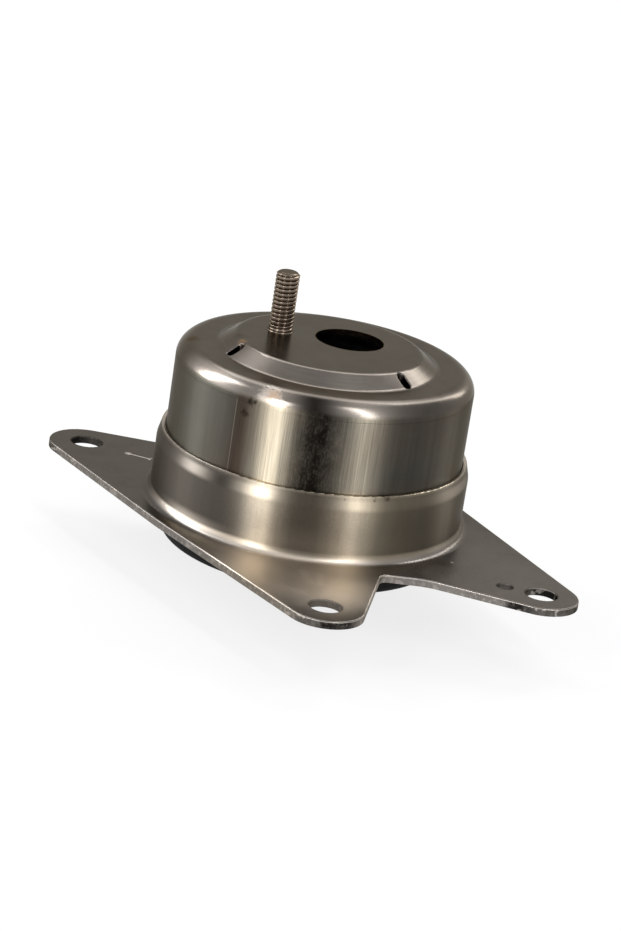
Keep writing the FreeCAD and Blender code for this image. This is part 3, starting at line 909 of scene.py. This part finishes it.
# %% The inner plates
def inner_steel():
    f = Finish("inner_plated_steel")
    mottle = f.swing(160.0, 4.0)
    grain = f.swing(1700.0, 2.0, rise=0.2)
    colour = f.scaled(srgb(255, 248, 238), 0.16 + mottle * 0.05 + grain * 0.03)
    relief = f.bump(f.noise(1200.0), 0.01)
    return f.shade(Base_Color=colour, Metallic=1.0, Roughness=0.38 + mottle * 0.15, Normal=relief)


plated = inner_steel()
for node in ("outer_sleeve", "inertia_track_cover", "track_rivets", "diaphragm_ring"):
    give(node, plated)

# %% [markdown]
# ## Floor and light
#
# The photograph has a white ground. Turning up the lamps would burn the steel out, so
# the floor is pale and matt, lit at a plain level, and only what the camera and the
# shiny steel see of it is lifted to white. The object's shadow stays. The steel gets its
# highlights from narrow softboxes round it and a broad one behind, as in a small studio,
# and many more are painted highlights in the steel's colour.

# %% The floor
floor_half = 20.0
white = (1.0, 1.0, 1.0, 1.0)
floor_grey = (0.90, 0.90, 0.90, 1.0)
floor_lift = 0.80


def seen_rays(net):
    """One for what the camera, a mirror or glass sees, and nought for light."""
    kinds = ("Is Camera Ray", "Is Glossy Ray", "Is Transmission Ray")
    return sum(net.node("ShaderNodeLightPath", {}, (), kind) for kind in kinds).math("MINIMUM", 1.0)


def pale_floor():
    material = bpy.data.materials.new("pale_floor")
    material.use_nodes = True
    net = Net(material.node_tree)
    net.tree.nodes.clear()
    matt = net.node("ShaderNodeBsdfDiffuse", {}, {"Color": floor_grey})
    glow = net.node("ShaderNodeEmission", {}, {"Color": white, "Strength": 1.0})
    ground = net.node("ShaderNodeMixShader", {}, (seen_rays(net) * floor_lift, matt, glow))
    net.node("ShaderNodeOutputMaterial", {}, {"Surface": ground})
    return material


floor_mesh = bpy.data.meshes.new("floor")
corners = [(x * floor_half, y * floor_half, 0) for x, y in ((-1, -1), (1, -1), (1, 1), (-1, 1))]
floor_mesh.from_pydata(corners, [], [(0, 1, 2, 3)])
floor_mesh.materials.append(pale_floor())
floor = bpy.data.objects.new("floor", floor_mesh)
bpy.context.collection.objects.link(floor)
print("floor:", 2 * floor_half, "m wide")

# %% The world
world_light = 0.30
world_seen = 1.0
world = bpy.data.worlds.new("studio")
world.use_nodes = True
bpy.context.scene.world = world
net = Net(world.node_tree)
net.tree.nodes.clear()
room = net.node("ShaderNodeBackground", {}, {"Color": white, "Strength": world_light})
sky = net.node("ShaderNodeBackground", {}, {"Color": white, "Strength": world_seen})
both = net.node("ShaderNodeMixShader", {}, (seen_rays(net), room, sky))
net.node("ShaderNodeOutputWorld", {}, {"Surface": both})
print("world: lights at", world_light, "and looks as bright as", world_seen)

# %% The softboxes: degrees from the camera and above the floor, size, power
camera_azimuth = -63.0
lamp_distance = 1.6
lamp_target = Vector((0, 0, 0.05))
softboxes = {
    "left_softbox": (-30, 20, (0.14, 1.2), 12.0),
    "right_softbox": (38, 34, (0.14, 2.0), 12.0),
    "side_softbox": (-100, 30, (0.36, 1.4), 13.0),
    "far_softbox": (142, 38, (0.25, 1.2), 8.0),
    "back_softbox": (178, 52, (1.2, 0.7), 9.0),
}


def softbox(name, from_camera, elevation, size, power):
    """A soft lamp on a circle round the mount, aimed at the cup."""
    lamp = bpy.data.lights.new(name, "AREA")
    lamp.shape = "RECTANGLE"
    lamp.size, lamp.size_y = size
    lamp.energy = power
    angle = math.radians(camera_azimuth + from_camera)
    height = math.radians(elevation)
    level = Vector((math.cos(angle), math.sin(angle), 0))
    aim = level * math.cos(height) + Vector((0, 0, math.sin(height)))
    holder = bpy.data.objects.new(name, lamp)
    holder.location = aim * lamp_distance + lamp_target
    holder.rotation_euler = aim.to_track_quat("Z", "Y").to_euler()
    bpy.context.collection.objects.link(holder)


for name, settings in softboxes.items():
    softbox(name, *settings)
print("softboxes:", ", ".join(softboxes))

# %% [markdown]
# ## Colours
#
# The picture uses the plain Standard view, so a colour looks as it was written.

# %% Finish
bpy.context.scene.view_settings.view_transform = "Standard"
